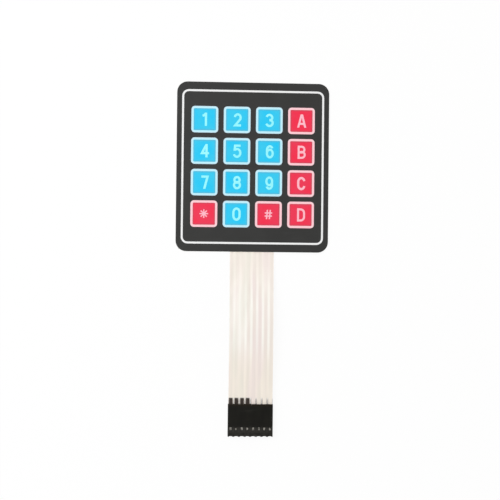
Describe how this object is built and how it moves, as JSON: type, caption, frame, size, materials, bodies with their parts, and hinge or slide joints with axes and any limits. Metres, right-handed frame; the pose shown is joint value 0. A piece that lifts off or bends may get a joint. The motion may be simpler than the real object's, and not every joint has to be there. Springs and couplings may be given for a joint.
{
  "type": "membrane keypad",
  "caption": "Flat square-keyed membrane keypad: printed overlay over a two-film switch circuit, with a flat tail ending in a single-row pin socket housing.",
  "frame": {"origin": "middle of the release liner's outer face, the flat back of the pad, at z = 0", "axes": "+Z out of the printed face, +Y towards the top row of keys with the tail running to -Y, +X to the right"},
  "size_m": [0.0692, 0.1602, 0.0036],
  "materials": {
    "white_film": "white polyester film with a fine matt face",
    "black_ink": "screen-printed charcoal black, satin",
    "blue_ink": "screen-printed light blue, satin",
    "red_ink": "screen-printed red, satin",
    "clear_adhesive": "milky acrylic adhesive film",
    "circuit_film": "milky polyester film, satin",
    "silver_ink": "matt printed silver",
    "carbon_ink": "matt printed carbon",
    "liner_paper": "siliconed paper, smooth",
    "black_moulding": "moulded black nylon, fine matt",
    "plated_metal": "tin-plated sheet metal"
  },
  "bodies": {
    "root": {"graphic_overlay": "white_film", "black_print_margin": "black_ink", "black_print_field": "black_ink", "key_print_1": "blue_ink", "key_print_2": "blue_ink", "key_print_3": "blue_ink", "key_print_a": "red_ink", "key_print_4": "blue_ink", "key_print_5": "blue_ink", "key_print_6": "blue_ink", "key_print_b": "red_ink", "key_print_7": "blue_ink", "key_print_8": "blue_ink", "key_print_9": "blue_ink", "key_print_c": "red_ink", "key_print_star": "red_ink", "key_print_0": "blue_ink", "key_print_hash": "red_ink", "key_print_d": "red_ink", "overlay_adhesive": "clear_adhesive", "upper_circuit_film": "circuit_film", "column_trace_1": "silver_ink", "column_trace_2": "silver_ink", "column_trace_3": "silver_ink", "column_trace_4": "silver_ink", "circuit_spacer": "clear_adhesive", "row_trace_1": "silver_ink", "row_trace_2": "silver_ink", "row_trace_3": "silver_ink", "row_trace_4": "silver_ink", "lower_circuit_film": "circuit_film", "carbon_tip_1": "carbon_ink", "carbon_tip_2": "carbon_ink", "carbon_tip_3": "carbon_ink", "carbon_tip_4": "carbon_ink", "carbon_tip_5": "carbon_ink", "carbon_tip_6": "carbon_ink", "carbon_tip_7": "carbon_ink", "carbon_tip_8": "carbon_ink", "rear_adhesive": "clear_adhesive", "release_liner": "liner_paper", "connector_housing": "black_moulding", "socket_contact_1": "plated_metal", "socket_contact_2": "plated_metal", "socket_contact_3": "plated_metal", "socket_contact_4": "plated_metal", "socket_contact_5": "plated_metal", "socket_contact_6": "plated_metal", "socket_contact_7": "plated_metal", "socket_contact_8": "plated_metal"}
  },
  "joints": []
}
